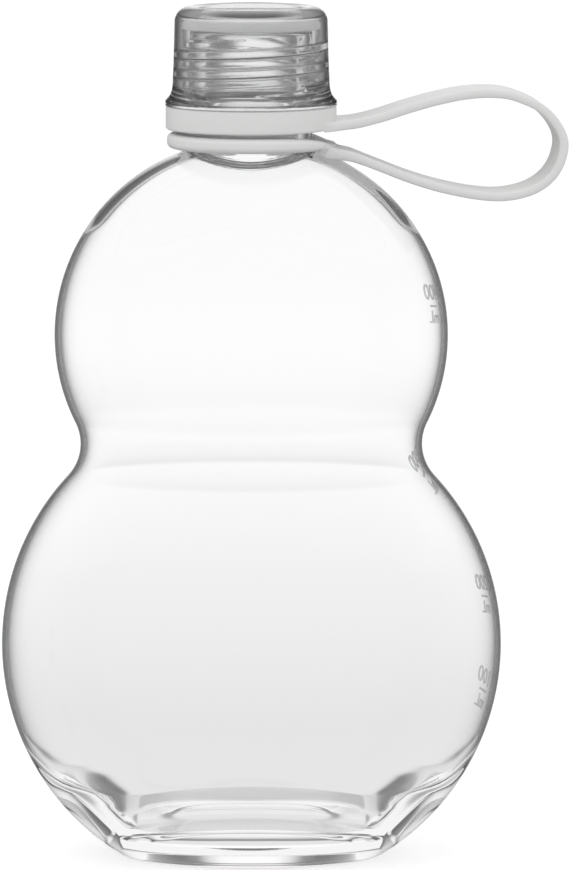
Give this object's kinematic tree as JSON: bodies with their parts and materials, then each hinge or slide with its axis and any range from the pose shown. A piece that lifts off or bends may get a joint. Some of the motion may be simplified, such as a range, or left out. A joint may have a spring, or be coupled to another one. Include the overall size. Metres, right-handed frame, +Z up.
{
  "type": "gourd water bottle",
  "caption": "Clear flattened gourd-shaped water bottle with a narrow waist, a smoky see-through screw cap, and a soft grey carrying loop held under the cap.",
  "frame": {"origin": "centre of the flat foot, in the plane that the bottle stands on", "axes": "+Z up along the neck, +X across the bottle's width to the strap's loop, +Y to the back, so the front faces -Y"},
  "size_m": [0.1153, 0.0662, 0.1738],
  "materials": {
    "clear_plastic": "clear, smooth and glossy",
    "smoky_plastic": "see-through smoky grey, satin",
    "liner_foam": "matt off-white foam",
    "strap_silicone": "light grey satin silicone"
  },
  "bodies": {
    "bottle": {"bottle": "clear_plastic"},
    "cap_lifter": {"cap_liner": "liner_foam"},
    "cap": {"cap": "smoky_plastic"},
    "strap": {"strap_neck_ring": "strap_silicone", "strap_loop": "strap_silicone"},
    "strap_top": {"strap_cap_ring": "strap_silicone"}
  },
  "joints": [
    {"name": "cap_lift", "type": "slide", "parent": "bottle", "child": "cap_lifter", "axis": [0, 0, 1], "range_m": [0, 0.0236]},
    {"name": "cap_turn", "type": "hinge", "parent": "cap_lifter", "child": "cap", "pos_m": [0, 0, 0.165], "axis": [0, 0, 1], "range_deg": [0, 2160]},
    {"name": "strap_swivel", "type": "hinge", "parent": "bottle", "child": "strap", "pos_m": [0, 0, 0.1467], "axis": [0, 0, 1], "continuous": true},
    {"name": "strap_stretch", "type": "slide", "parent": "strap", "child": "strap_top", "axis": [0, 0, 1], "range_m": [0, 0.0236]}
  ],
  "couplings": [
    {"joint": "cap_lift", "follows": "cap_turn", "m_per_rad": 0.00062548},
    {"joint": "strap_stretch", "follows": "cap_turn", "m_per_rad": 0.00062548}
  ]
}
